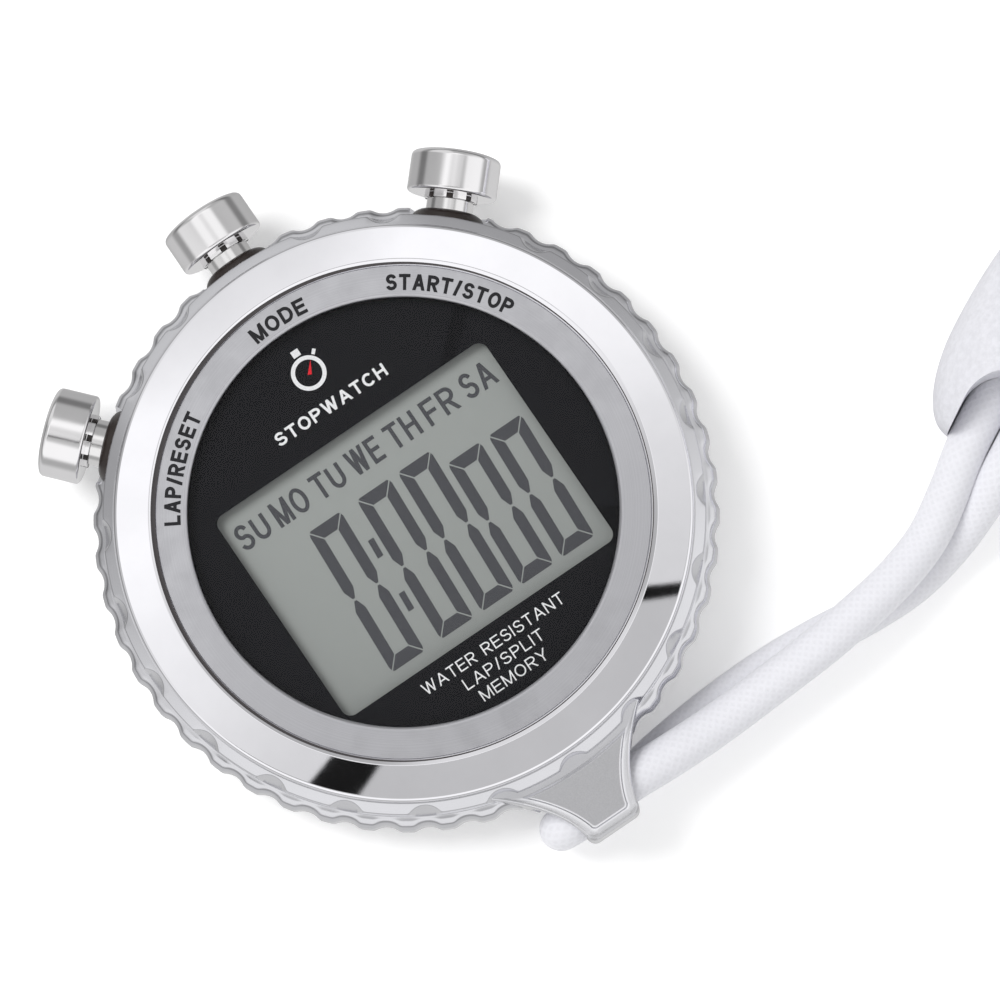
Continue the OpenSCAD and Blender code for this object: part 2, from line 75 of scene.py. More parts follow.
SCALLOPS, SCALLOP_R, SCALLOP_DEPTH = 48, 2.2, 0.5
SCOOP_R, SCOOP_LEAN, PUSHER_CLEAR = 2.4, math.radians(14), 9.5
LUG_REACH, LUG_END_W, LUG_TOP, LUG_BOTTOM = 40.1, 6.4, 11.8, 4.9
LUG_RIM, LUG_SUNK, LUG_ROOT_S, LIP_FROM = 1.1, 0.22, 30.0, 33.15
TUNNEL_S, TUNNEL_Z, TUNNEL_R = 36.6, 8.3, 2.6
CORD_D = 4.6
BEAD_R, BEAD_LEN, BEAD_WIDEST, BEAD_MOUTH_R, BEAD_TAIL_R = 9.3, 28.0, 10.5, 4.9, 5.2
BEAD_MOUTH, BEAD_HEADING = Vector((54.7, -29.4, 9.35)), math.radians(29)
BEAD_HOLE_W, BEAD_HOLE_D, BEAD_NOTCH = 4.7, 4.9, 8.3


def show(made):
    bpy.context.scene.collection.objects.link(made)


def polar(r, a, z=0.0):
    """The point at height z and r from the axis, at angle a in radians."""
    return r * math.cos(a), r * math.sin(a), z


# ---- camera

def make_camera():
    """The watch seen from almost straight above, with 12 o'clock turned to the upper left."""
    towards = Vector((-0.020, -0.115, 0.993)).normalized()
    place = Vector((0, 0, 14.2)) + towards * 650
    forward = (Vector((9.1, -4.8, 14.2)) - place).normalized()
    right = forward.cross(Vector((0.561, 0.828, 0))).normalized()
    up = right.cross(forward)
    data = bpy.data.cameras.new("camera")
    data.lens = 222
    data.sensor_width = 36
    data.clip_start = 0.01
    camera = bpy.data.objects.new("camera", data)
    turn = Matrix((right, up, -forward)).transposed().to_4x4()
    camera.matrix_world = Matrix.Translation(place * MM) @ turn
    show(camera)
    bpy.context.scene.camera = camera


# ---- materials

class Nodes:
    """A node tree with shortcuts."""

    def __init__(self, tree):
        self.nodes = tree.nodes
        self.links = tree.links

    def node(self, kind, inputs=None, **settings):
        made = self.nodes.new("ShaderNode" + kind)
        for key, value in settings.items():
            setattr(made, key, value)
        for key, value in (inputs or {}).items():
            if isinstance(value, bpy.types.NodeSocket):
                self.links.new(value, made.inputs[key])
            else:
                made.inputs[key].default_value = value
        return made

    def between(self, value, low, high, at=(0.35, 0.65), **settings):
        """Maps value from the span at to the span from low to high."""
        spans = {"From Min": at[0], "From Max": at[1], "To Min": low, "To Max": high}
        return self.node("MapRange", {"Value": value, **spans}, **settings).outputs[0]

    def math(self, operation, a, b=0.0):
        return self.node("Math", {0: a, 1: b}, operation=operation).outputs[0]

    def length(self, a, b):
        square = self.math("ADD", self.math("MULTIPLY", a, a), self.math("MULTIPLY", b, b))
        return self.math("SQRT", square)


class Shader(Nodes):
    """A node material that starts from one Principled shader."""

    def __init__(self, name, colour, metallic=0.0, roughness=0.5, **sockets):
        self.material = bpy.data.materials.new(name)
        self.material.use_nodes = True
        super().__init__(self.material.node_tree)
        self.base = self.nodes["Principled BSDF"]
        values = {"Base Color": (*colour, 1), "Metallic": metallic, "Roughness": roughness, **sockets}
        for socket, value in values.items():
            self.base.inputs[socket.replace("_", " ")].default_value = value
        self.colour = colour

    def place(self, scale=(1, 1, 1), turn=(0, 0, 0)):
        """The object's own coordinates in millimetres, scaled and turned."""
        coords = self.node("TexCoord").outputs["Object"]
        scale = [s / MM for s in scale]
        return self.node("Mapping", {"Vector": coords, "Scale": scale, "Rotation": turn}).outputs[0]

    def axes(self):
        """The object's own x, y and z in millimetres."""
        return self.node("SeparateXYZ", {0: self.place()}).outputs

    def noise(self, size, detail, scale=(1, 1, 1), turn=(0, 0, 0)):
        """Noise whose features are about size millimetres across."""
        settings = {"Scale": 1 / size, "Detail": detail, "Roughness": 0.6}
        return self.node("TexNoise", {"Vector": self.place(scale, turn), **settings}).outputs["Fac"]

    def set(self, socket, value):
        self.links.new(value, self.base.inputs[socket])

    def vary_colour(self, factor, dark, light):
        """Runs the colour from dark to light times itself."""
        low = [c * dark for c in self.colour]
        high = [min(1, c * light) for c in self.colour]
        mixed = self.node("Mix", {0: factor, 6: (*low, 1), 7: (*high, 1)}, data_type="RGBA")
        self.set("Base Color", mixed.outputs[2])

    def vary_roughness(self, factor, low, high):
        """Runs the roughness from low to high times itself."""
        roughness = self.base.inputs["Roughness"].default_value
        self.set("Roughness", self.between(factor, roughness * low, roughness * high))

    def bump(self, height, distance):
        """Raises the surface by height times distance millimetres."""
        made = self.node("Bump", {"Height": height, "Distance": distance * MM})
        self.set("Normal", made.outputs[0])


def polished(name, colour, roughness, grain=1.0):
    """Bright metal with faint smears and hairlines in its polish."""
    s = Shader(name, colour, 1.0, roughness)
    smear = s.noise(9, 4)
    s.vary_roughness(smear, 0.75, 1.5)
    s.vary_colour(s.between(smear, 0.0, 1.0), 0.97, 1.02)
    s.bump(s.noise(0.12, 2, (1, 9, 1), (0, 0, 0.5)), 0.0006 * grain)
    return s.material


def satin(name, colour, roughness, grain=0.1, metallic=1.0):
    """Metal or plastic with an even, fine satin grain."""
    s = Shader(name, colour, metallic, roughness)
    speckle = s.noise(grain, 3)
    s.vary_roughness(s.noise(3, 3), 0.85, 1.2)
    s.vary_colour(s.between(speckle, 0.0, 1.0), 0.94, 1.04)
    s.bump(speckle, grain * 0.03)
    return s.material


def ring_brushed(name, colour, roughness):
    """Metal brushed in circles about the watch's axis."""
    s = Shader(name, colour, 1.0, roughness)
    x, y, _ = s.axes()
    grooves = {"W": s.length(x, y), "Scale": 14.0, "Detail": 3.0}
    lines = s.node("TexNoise", grooves, noise_dimensions="1D").outputs["Fac"]
    s.vary_colour(s.between(lines, 0.0, 1.0), 0.93, 1.05)
    s.vary_roughness(s.noise(2.5, 3), 0.85, 1.2)
    s.bump(lines, 0.004)
    return s.material


def clear_glass():
    """Flat mineral glass: see-through, with a faint mirror at its faces."""
    s = Shader("crystal_glass", (1, 1, 1))
    fresnel = s.node("Fresnel", {"IOR": 1.45})
    smear = s.between(s.noise(12, 4), 0.01, 0.05)
    mirror = s.node("BsdfGlossy", {"Color": (1, 1, 1, 1), "Roughness": smear})
    through = s.node("BsdfTransparent", {"Color": (0.985, 0.99, 0.99, 1)})
    share = s.math("MULTIPLY", fresnel.outputs[0], 0.3)
    mixed = s.node("MixShader", {0: share, 1: through.outputs[0], 2: mirror.outputs[0]})
    s.links.new(mixed.outputs[0], s.nodes["Material Output"].inputs["Surface"])
    return s.material


def braid(name, colour):
    """Round braided cord. U counts turns round the cord and V its diameters along it."""
    s = Shader(name, colour, 0.0, 0.78, Sheen_Weight=0.35, Sheen_Roughness=0.4)
    uv = s.node("SeparateXYZ", {0: s.node("UVMap", uv_map="cord").outputs[0]})
    turns, run = uv.outputs[0], uv.outputs[1]
    yarns, rise = 14.0, 4.6
    across = s.math("MULTIPLY", turns, yarns)
    along = s.math("MULTIPLY", run, rise)
    fluff = s.noise(0.22, 4)
    blotch = s.noise(1.1, 3)
    wander = s.math("MULTIPLY", fluff, 0.35)
    families = []
    for sign in (1.0, -1.0):
        phase = s.math("ADD", s.math("ADD", across, s.math("MULTIPLY", along, sign)), wander)
        wave = s.math("COSINE", s.math("MULTIPLY", phase, 2 * math.pi))
        families.append(s.math("MULTIPLY", s.math("ADD", wave, 1.0), 0.5))
    weave = s.math("MAXIMUM", families[0], families[1])
    height = s.math("ADD", s.math("MULTIPLY", weave, 0.6), s.math("MULTIPLY", fluff, 0.9))
    s.bump(height, 0.045)
    # Darker where the weave is low, between the yarns: painted shade in the crevices, mixed with random
    # blotches of tone.
    shade = s.math("ADD", s.math("MULTIPLY", weave, 0.45), s.math("MULTIPLY", blotch, 0.6))
    s.vary_colour(s.between(shade, 0.0, 1.0, (0.2, 1.0)), 0.93, 1.03)
    return s.material


def display_glass():
    """Grey-green reflective display: painted light that brightens it towards the top, and the grain of its
    reflector foil.
    """
    s = Shader("display_face", (0.30, 0.31, 0.30), 0.0, 0.45, Specular_IOR_Level=0.12)
    painted_light_fade = s.between(s.axes()[1], 0.0, 1.0, (-15, 11))
    grain = s.noise(0.08, 2)
    s.vary_colour(s.math("ADD", s.math("MULTIPLY", painted_light_fade, 0.7), s.math("MULTIPLY", grain, 0.3)), 0.92, 1.08)
    s.bump(grain, 0.002)
    return s.material


def print_ink(name, colour, roughness=0.5):
    """Screen-printed ink with slight unevenness."""
    s = Shader(name, colour, 0.0, roughness, Specular_IOR_Level=0.12)
    grain = s.noise(0.12, 3)
    s.vary_colour(s.between(grain, 0.0, 1.0), 0.85, 1.15)
    s.bump(grain, 0.002)
    return s.material


# ---- mesh tools

def piece(name, verts, faces, material, body="watch", slot=None, replaces=(), smooth=35):
    """A mesh piece from points in millimetres, smooth except at edges sharper than smooth."""
    mesh = bpy.data.meshes.new(name)
    mesh.from_pydata([tuple(c * MM for c in v) for v in verts], [], faces)
    mesh.validate()
    made = bpy.data.objects.new(name, mesh)
    show(made)
    return finish_piece(made, material, body, replaces, smooth)


def coat(made, material):
    made.data.materials.clear()
    made.data.materials.append(material)


def finish_piece(made, material, body="watch", replaces=(), smooth=35):
    if material:
        coat(made, material)
    shade(made, smooth)
    if body and "level" not in made.modifiers:
        made.modifiers.new("level", "WEIGHTED_NORMAL").keep_sharp = True
    if body:
        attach(made, body)
    if replaces:
        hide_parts(*replaces)
    return made


def shade(made, angle):
    bm = bmesh.new()
    bm.from_mesh(made.data)
    bmesh.ops.recalc_face_normals(bm, faces=bm.faces)
    if bm.calc_volume(signed=True) < 0:
        bmesh.ops.reverse_faces(bm, faces=bm.faces)
    bm.to_mesh(made.data)
    bm.free()
    made.data.shade_smooth()
    made.data.set_sharp_from_angle(angle=math.radians(angle))


def soften(made, width, segments=2, angle=30):
    """Rounds the edges with a bevel and keeps the flat faces flat in the shading."""
    bevel = made.modifiers.new("bevel", "BEVEL")
    bevel.width = width * MM
    bevel.segments = segments
    bevel.limit_method = "ANGLE"
    bevel.angle_limit = math.radians(angle)
    made.modifiers.new("level", "WEIGHTED_NORMAL").keep_sharp = True


def baked(made):
    """Applies the object's modifiers to its mesh."""
    graph = bpy.context.evaluated_depsgraph_get()
    graph.update()
    mesh = bpy.data.meshes.new_from_object(made.evaluated_get(graph))
    made.modifiers.clear()
    made.data = mesh


def bare(name, verts, faces):
    """A working mesh that rides on nothing yet."""
    return piece(name, verts, faces, None, body=None)


def combine(made, solid, operation):
    """Boolean of a closed mesh and a solid of (points, faces)."""
    tool = bare("tool", *solid)
    step = made.modifiers.new("boolean", "BOOLEAN")
    step.object = tool
    step.operation = operation
    step.solver = "EXACT"
    baked(made)
    bpy.data.objects.remove(tool)


def cut(made, solid):
    combine(made, solid, "DIFFERENCE")


def placed(solid, turn, at):
    """The solid with its points turned and then moved."""
    verts, faces = solid
    return [tuple(turn @ Vector(v) + Vector(at)) for v in verts], faces


def on_pusher(solid, direction):
    """Turns a solid drawn along +Z from the watch's centre onto a pusher's axis."""
    turn = Matrix.Rotation(math.radians(direction), 4, "Z") @ Matrix.Rotation(math.pi / 2, 4, "Y")
    return placed(solid, turn, (0, 0, PUSHER_Z))


def join(solids):
    """Several solids as one list of points and one of faces."""
    verts, faces = [], []
    for points, sides in solids:
        faces += [[len(verts) + i for i in side] for side in sides]
        verts += points
    return verts, faces


def ring_of(sections):
    """A closed ring through sections of (radius, height), spread evenly about +Z."""
    verts, faces = [], []
    count, n = len(sections), len(sections[0])
    for c, section in enumerate(sections):
        a = math.radians(360 * c / count)
        verts += [polar(r, a, z) for r, z in section]
        d = (c + 1) % count
        faces += [[c * n + i, d * n + i, d * n + (i + 1) % n, c * n + (i + 1) % n] for i in range(n)]
    return verts, faces


def lathe(profile, steps):
    """A closed profile of (radius, height) turned about +Z. A point on the axis stays one point."""
    verts, rings = [], []
    for r, z in profile:
        count = steps if r > 0 else 1
        rings.append([len(verts) + k % count for k in range(steps)])
        verts += [polar(r, 2 * math.pi * k / steps, z) for k in range(count)]
    faces = []
    for low, high in zip(rings, rings[1:] + rings[:1]):
        for k in range(steps):
            j = (k + 1) % steps
            corners = list(dict.fromkeys((low[k], low[j], high[j], high[k])))
            if len(corners) > 2:
                faces.append(corners)
    return verts, faces


def cylinder(r, low, high):
    return lathe([(0, low), (r, low), (r, high), (0, high)], 64)


def stacked(outlines):
    """A solid through level outlines of (x, y, z) points, all of one length, from the lowest up."""
    n = len(outlines[0])
    last = (len(outlines) - 1) * n
    faces = [list(range(n))[::-1], list(range(last, last + n))]
    for k in range(0, last, n):
        faces += [[k + i, k + (i + 1) % n, k + n + (i + 1) % n, k + n + i] for i in range(n)]
    return sum(outlines, []), faces


def prism(outline, low, high):
    """A straight prism on an outline of (x, y) points."""
    return stacked([[(x, y, z) for x, y in outline] for z in (low, high)])


def bow(cx, cy, rx, ry, a, b, steps=14):
    """Points of an elliptic arc from angle a to angle b."""
    angles = [math.radians(a + (b - a) * i / steps) for i in range(steps + 1)]
    return [(cx + rx * math.cos(t), cy + ry * math.sin(t)) for t in angles]


def arc(cx, cy, r, a, b, steps):
    return bow(cx, cy, r, r, a, b, steps)


def box(cx, cy, w, h):
    """The corners of an upright rectangle about a centre."""
    return [(cx + x * w / 2, cy + y * h / 2) for x, y in ((-1, -1), (1, -1), (1, 1), (-1, 1))]


def round_rectangle(w, h, r, steps):
    x, y = w / 2 - r, h / 2 - r
    return (arc(x, y, r, 0, 90, steps) + arc(-x, y, r, 90, 180, steps)
            + arc(-x, -y, r, 180, 270, steps) + arc(x, -y, r, 270, 360, steps))


def rounded(profile, radii, steps=3):
    """The profile with each corner replaced by an arc-like fillet of the same number of points."""
    out = []
    n = len(profile)
    for i, (corner, r) in enumerate(zip(profile, radii)):
        here = Vector(corner)
        before, after = Vector(profile[i - 1]) - here, Vector(profile[(i + 1) % n]) - here
        if r <= 0:
            out.append(tuple(here))
            continue
        reach = min(r, before.length * 0.42, after.length * 0.42)
        a, b = here + before.normalized() * reach, here + after.normalized() * reach
        for k in range(steps + 1):
            t = k / steps
            out.append(tuple(a * (1 - t) ** 2 + here * 2 * t * (1 - t) + b * t * t))
    return out


# ---- lanyard

STRAND_A = [
    (0, -36.6, 8.3), (-2, -36.6, 8.3), (-4.1, -36.6, 7.4), (-5, -36.6, 5.3), (-4.1, -36.6, 3.2),
    (-2, -36.6, 2.3), (3, -36.3, 2.3), (9, -35.4, 2.3), (15, -34.8, 2.3), (22, -34.6, 2.3),
    (29, -35.0, 2.3), (35, -35.7, 2.3), (41, -35.8, 2.4), (46.5, -34.8, 3.6), (51.3, -33.2, 6.4),
    (55.8, -31.4, 9.3), (62.8, -27.6, 9.3), (69.8, -23.7, 9.3), (76.8, -19.8, 9.3),
    (80.3, -17.9, 9.2), (83.8, -15.6, 7.6), (86.2, -11.8, 4.7), (86.6, -7.2, 2.5),
]
STRAND_B = [
    (0, -36.6, 8.3), (4, -36.6, 8.3), (9, -36.8, 7.7), (15, -36.8, 6.8), (22, -36.5, 6.6),
    (29, -36.1, 6.8), (34, -35.5, 6.9), (39, -34.7, 6.9), (44.5, -33.0, 6.9), (49.3, -30.2, 8.0),
    (53.6, -27.3, 9.3), (60.6, -23.5, 9.3), (67.6, -19.6, 9.3), (74.6, -15.7, 9.3),
    (78.1, -13.8, 9.3), (82.0, -11.0, 8.8), (84.9, -7.4, 7.7), (86.7, -3.2, 6.95),
]
COIL_AT = Vector((116, -10, 0))
COIL_R, COIL_STEP, COIL_INNER_R = 29.5, 4.6, 19.5
COIL_LOW, COIL_HIGH = 2.3, 6.9
COIL_FROM = 172


def coil_point(degrees, z):
    """A point of the flat spiral: its radius shrinks by COIL_STEP for each turn clockwise."""
    r = COIL_R - COIL_STEP * (COIL_FROM - degrees) / 360
    return COIL_AT + Vector(polar(r, math.radians(degrees), z))


def lanyard_route():
    """Strand B, inwards along the upper layer, an S in the middle, out again below, strand A."""
    inner = COIL_FROM - 360 * (COIL_R - COIL_INNER_R) / COIL_STEP
    upper = [coil_point(d, COIL_HIGH) for d in range(154, int(inner) + 8, -12)]
    lower = [coil_point(d, COIL_LOW) for d in range(COIL_FROM - 12, int(inner) + 188, -12)]
    theta = math.radians(inner)
    out = Vector(polar(1, theta))
    bend = (2 * COIL_INNER_R + COIL_STEP / 2) / 4
    middle, steps = [], 10
    for i in range(2 * steps + 1):
        first = i < steps
        a = theta - math.pi * i / steps if first else theta + math.pi * (i - steps) / steps
        centre = out * (COIL_INNER_R - bend * (1 if first else 3))
        drop = min(1, max(0, (i / (2 * steps) - 0.1) / 0.7))
        z = COIL_HIGH + (COIL_LOW - COIL_HIGH) * drop * drop * (3 - 2 * drop)
        middle.append(COIL_AT + centre + Vector(polar(1, a)) * bend + Vector((0, 0, z)))
    return [Vector(p) for p in STRAND_B] + upper + middle + lower[::-1] + [Vector(p) for p in STRAND_A[::-1]]


def smooth_line(points, step):
    """Centripetal Catmull-Rom curve through the points, in even steps."""
    ends = [points[0] * 2 - points[1], *points, points[-1] * 2 - points[-2]]
    line = []
    for p0, p1, p2, p3 in zip(ends, ends[1:], ends[2:], ends[3:]):
        t1 = (p1 - p0).length ** 0.5
        t2 = t1 + (p2 - p1).length ** 0.5
        t3 = t2 + (p3 - p2).length ** 0.5
        for i in range(24):
            t = t1 + (t2 - t1) * i / 24
            a1 = p0.lerp(p1, t / t1)
            a2 = p1.lerp(p2, (t - t1) / (t2 - t1))
            a3 = p2.lerp(p3, (t - t2) / (t3 - t2))
            b1 = a1.lerp(a2, t / t2)
            b2 = a2.lerp(a3, (t - t1) / (t3 - t1))
            line.append(b1.lerp(b2, (t - t1) / (t2 - t1)))
    line.append(points[-1])
    for _ in range(6):
        line = [line[0]] + [(a + b * 2 + c) / 4 for a, b, c in zip(line, line[1:], line[2:])] + [line[-1]]
    even, left = [line[0]], step
    for a, b in zip(line, line[1:]):
        gap = (b - a).length
        while gap > 0 and left <= gap:
            even.append(a.lerp(b, left / gap))
            left += step
        left -= gap
    return even


def cord_tube(name, line, diameter, sides, material):
    """A round tube along the line, with a UV map that counts turns round it and diameters along it."""
    verts, tangent = [], (line[1] - line[0]).normalized()
    side = tangent.cross(Vector((0, 0, 1))).normalized()
    for i, spot in enumerate(line):
        ahead = (line[min(i + 1, len(line) - 1)] - line[max(i - 1, 0)]).normalized()
        side = (side - ahead * side.dot(ahead)).normalized()
        other = ahead.cross(side)
        r = diameter / 2 * (1 + 0.012 * math.sin(i * 0.11) + 0.01 * math.sin(i * 0.043 + 1))
        turns = [2 * math.pi * k / sides for k in range(sides)]
        verts += [spot + (side * math.cos(a) + other * math.sin(a)) * r for a in turns]
    # It lies a little flat where it rests.
    verts = [Vector((v.x, v.y, max(v.z, 0.0))) for v in verts]
    last = (len(line) - 1) * sides
    faces = [[i + k, i + (k + 1) % sides, i + sides + (k + 1) % sides, i + sides + k]
             for i in range(0, last, sides) for k in range(sides)]
    faces += [list(range(sides))[::-1], list(range(last, last + sides))]
    made = piece(name, verts, faces, material, slot="cord_white",
                 replaces=("lanyard_strand_a", "lanyard_strand_b", "lanyard_coil"), smooth=60)
    layer = made.data.uv_layers.new(name="cord")
    step = (line[1] - line[0]).length / diameter
    for polygon in made.data.polygons:
        seam = polygon.index % sides == sides - 1
        for loop, vertex in zip(polygon.loop_indices, polygon.vertices):
            k = vertex % sides
            layer.data[loop].uv = ((k + (sides if seam and k == 0 else 0)) / sides, vertex // sides * step)
    return made


def bead_profile():
    """Radii and heights of the bead from mouth to tail: two quarters of ellipses."""
    rising = bow(BEAD_MOUTH_R, BEAD_WIDEST, BEAD_R - BEAD_MOUTH_R, BEAD_WIDEST, -90, 0, 28)
    falling = bow(BEAD_TAIL_R, BEAD_WIDEST, BEAD_R - BEAD_TAIL_R, BEAD_LEN - BEAD_WIDEST, 0, 90, 28)
    return [(0, 0)] + rising + falling[1:] + [(0, BEAD_LEN)]


def make_bead(material):
    turn = Matrix.Rotation(BEAD_HEADING, 4, "Z")
    along = turn @ Matrix.Rotation(math.pi / 2, 4, "Y")
    half, r = BEAD_HOLE_W / 2, BEAD_HOLE_D / 2
    hole = prism(arc(0, half, r, 0, 180, 20) + arc(0, -half, r, 180, 360, 20), -2, BEAD_LEN + 2)
    w = half + r
    notch = prism([(-1, w), (-1, -w)] + arc(BEAD_NOTCH - w, 0, w, -90, 90, 32), 0, 12)
    made = bare("lanyard_bead_moulded", *placed(lathe(bead_profile(), 96), along, BEAD_MOUTH))
    cut(made, placed(hole, along, BEAD_MOUTH))
    cut(made, placed(notch, turn, BEAD_MOUTH))
    soften(made, 0.35, 3, 40)
    return finish_piece(made, material, replaces=("lanyard_bead",))


# ---- case

def off_centre(degrees, pitch):
    """How far the angle is past the nearest whole multiple of the pitch."""
    return (degrees + pitch / 2) % pitch - pitch / 2


def crest(degrees):
    """Outer radius of the rim: lobes with notches at whole multiples of the pitch."""
    delta = math.radians(off_centre(degrees, 360 / SCALLOPS))
    centre = RIM_R + SCALLOP_R - SCALLOP_DEPTH
    reach = SCALLOP_R ** 2 - (centre * math.sin(delta)) ** 2
    notch = centre * math.cos(delta) - math.sqrt(reach) if reach > 0 else centre
    soft = 0.09
    gap = (notch - RIM_R) / soft
    return RIM_R - soft * math.log1p(math.exp(-gap)) if gap > -30 else notch


def scoop_bulge(degrees):
    """How far beyond its innermost line a scoop's wall stands at this angle, or None outside it."""
    delta = math.radians(off_centre(degrees, 720 / SCALLOPS))
    across = SHOULDER_R * math.sin(delta)
    centre = degrees - math.degrees(delta)
    near_pusher = min(abs(off_centre(centre - p, 360)) for p in PUSHERS.values()) < PUSHER_CLEAR
    if abs(across) >= SCOOP_R or near_pusher:
        return None
    return SCOOP_R / math.cos(SCOOP_LEAN) * (1 - math.sqrt(1 - (across / SCOOP_R) ** 2))


def case_column(degrees):
    """The case's profile at one angle, always with the same number of corners."""
    edge = crest(degrees)
    share = (edge - SHOULDER_R) / (RIM_R - SHOULDER_R)

    def lobe(r):
        return SHOULDER_R + (r - SHOULDER_R) * share

    slope = (CASE_TOP - LEDGE_Z) / (SHOULDER_R - TOP_R)
    wall_split, corner = (SHOULDER_R, LEDGE_Z - 0.35), (SHOULDER_R, LEDGE_Z)
    bulge = scoop_bulge(degrees)
    if bulge is not None:
        lean = math.tan(SCOOP_LEAN)
        foot = SHOULDER_R + 0.05 + bulge
        start = RIM_TOP + 0.1 + (foot - SHOULDER_R) / lean
        if start < LEDGE_Z - 0.05:
            top = (LEDGE_Z + (SHOULDER_R - foot - lean * (RIM_TOP + 0.1)) * slope) / (1 - lean * slope)
            wall_split = (SHOULDER_R, min(start, LEDGE_Z - 0.35))
            corner = (foot - lean * (top - RIM_TOP - 0.1), top)
    profile = [
        (24.6, 2.8), (24.6, 1.3), (28.8, 1.3), (28.8, 0.5), (29.4, 0.5), (31.4, 2.4), (lobe(33.0), 3.3),
        (lobe(RIM_R), 4.5), (lobe(RIM_R), 7.5), (lobe(33.05), 8.4), (lobe(32.5), 8.78), (SHOULDER_R, RIM_TOP),
        wall_split, corner, (TOP_R, CASE_TOP), (SEAT_R, CASE_TOP), (SEAT_R, SEAT_Z), (CAVITY_R, SEAT_Z),
        (CAVITY_R, 2.8),
    ]
    radii = [0, 0, 0, 0.1, 0.15, 0.6, 0.5, 0.5, 0.6, 0.25, 0.2, 0.05, 0, 0.14, 0.12, 0, 0, 0, 0]
    return rounded(profile, radii)


def lug_half_w(s):
    t = max(0, LUG_REACH - 0.8 - s)
    return LUG_END_W / 2 + 0.2 * t + 0.055 * t * t


def lug_outline(inset, root, steps=28):
    """Right flank out from the root, round the end, back along the left flank and across the root.

    The root is straight inside the case, or an arc of radius root about the watch's centre."""
    y, r = -(LUG_REACH - inset), max(1.0 - inset * 0.4, 0.4)
    start = LUG_ROOT_S
    while start ** 2 + (lug_half_w(start) - inset) ** 2 < root ** 2:
        start += 0.002
    span = -y - r - start
    reaches = [start + span * i / steps for i in range(steps + 1)]
    right = [(lug_half_w(s) - inset, -s) for s in reaches]
    x = right[-1][0]
    right += arc(x - r, y + r, r, 0, -90, 8)[1:]
    left = [(-px, py) for px, py in reversed(right)]
    across = []
    for i in range(1, 16):
        px = left[-1][0] + (right[0][0] - left[-1][0]) * i / 16
        across.append((px, -math.sqrt(root ** 2 - px ** 2) if root else -start))
    return right + left + across


def lug_solid():
    """The lug as stacked outlines: rounded edges, a raised rim and a face sunk in a gentle step."""
    rim, face = LUG_RIM, LUG_TOP - LUG_SUNK
    layers = [
        (0.4, LUG_BOTTOM, 0), (0.12, LUG_BOTTOM + 0.1, 0), (0, LUG_BOTTOM + 0.4, 0), (0, LUG_TOP - 0.45, 0),
        (0.05, LUG_TOP - 0.22, 0), (0.18, LUG_TOP - 0.06, 0), (0.36, LUG_TOP, 0), (rim - 0.18, LUG_TOP, 32.55),
        (rim - 0.02, LUG_TOP - 0.035, 32.67), (rim + 0.12, face + 0.035, 32.81), (rim + 0.3, face, 32.97),
    ]
    return stacked([[(x, y, z) for x, y in lug_outline(inset, root)] for inset, z, root in layers])


def lug_tunnel():
    """Tunnel across the lug, with flared mouths."""
    w = lug_half_w(TUNNEL_S)
    half = [(TUNNEL_R, 0.8 - w), (TUNNEL_R + 0.45, -w), (TUNNEL_R + 0.9, -w - 3), (0, -w - 3)]
    verts, faces = lathe(half[::-1] + [(r, -z) for r, z in half], 64)
    return [(z, -TUNNEL_S + y, TUNNEL_Z + x) for x, y, z in verts], faces


def lug_lips():
    """Rounds under the mouths, where the cord turns down."""
    half = TUNNEL_R - 0.05
    verts, faces = cylinder(3.7, -half, half)
    return [([(side * 5.6 + x, 0.15 - TUNNEL_S + z, LUG_BOTTOM - 0.4 + y) for x, y, z in verts], faces)
            for side in (-1, 1)]


def make_case(material, sunken, lip_painted_highlight):
    columns = SCALLOPS * 20
    made = bare("case_body", *ring_of([case_column(360 * c / columns) for c in range(columns)]))
    combine(made, lug_solid(), "UNION")
    tools = [lug_tunnel(), *lug_lips()]
    for direction in PUSHERS.values():
        tools.append(on_pusher(cylinder(TUBE_R, 20, TUBE_END_S + 0.2), direction))
        pocket = lathe([(0, TUBE_END_S), (RECESS_R, TUBE_END_S), (RECESS_R, 33.0), (RECESS_R + 0.5, 34.2),
                        (RECESS_R + 0.5, 39), (0, 39)], 96)
        tools.append(on_pusher(pocket, direction))
    for tool in tools:
        cut(made, tool)
    finish_piece(made, material, replaces=("case_middle",), smooth=28)
    made.data.materials.append(sunken)
    made.data.materials.append(lip_painted_highlight)
    level = LUG_TOP - LUG_SUNK
    for face in made.data.polygons:
        spot = face.center / MM
        if face.normal.z > 0.99 and abs(spot.z - level) < 0.02 and spot.y < -SHOULDER_R + 1:
            face.material_index = 1
        # The top faces of the lug's raised rim take a brighter copy of the case polish: a painted highlight.
        elif spot.y < 0 and spot.z > LUG_TOP - 0.3 and face.normal.z > 0.6 and spot.xy.length > LIP_FROM:
            face.material_index = 2


# ---- front of the watch

def painted_shade_seam_line(steps=256):
    """Painted shade: a thin black strip in the groove between bezel and label ring, widest at the upper left,
    where the groove looks darkest.
    """
    r, z = LABEL_RING_R + 0.28, BEZEL_TOP - 0.3
    sections = []
    for i in range(steps):
        share = (0.5 + 0.5 * math.cos(2 * math.pi * i / steps - math.radians(135))) ** 2
        inner, wide = r - 0.09 - 0.16 * share, 0.02 + 0.22 * share
        sections.append([(inner, z - 0.1), (inner, z + 0.02), (r, z + 0.02),
                         (r + wide, z + 0.714 * wide + 0.012), (r + wide, z - 0.1)])
    return ring_of(sections)


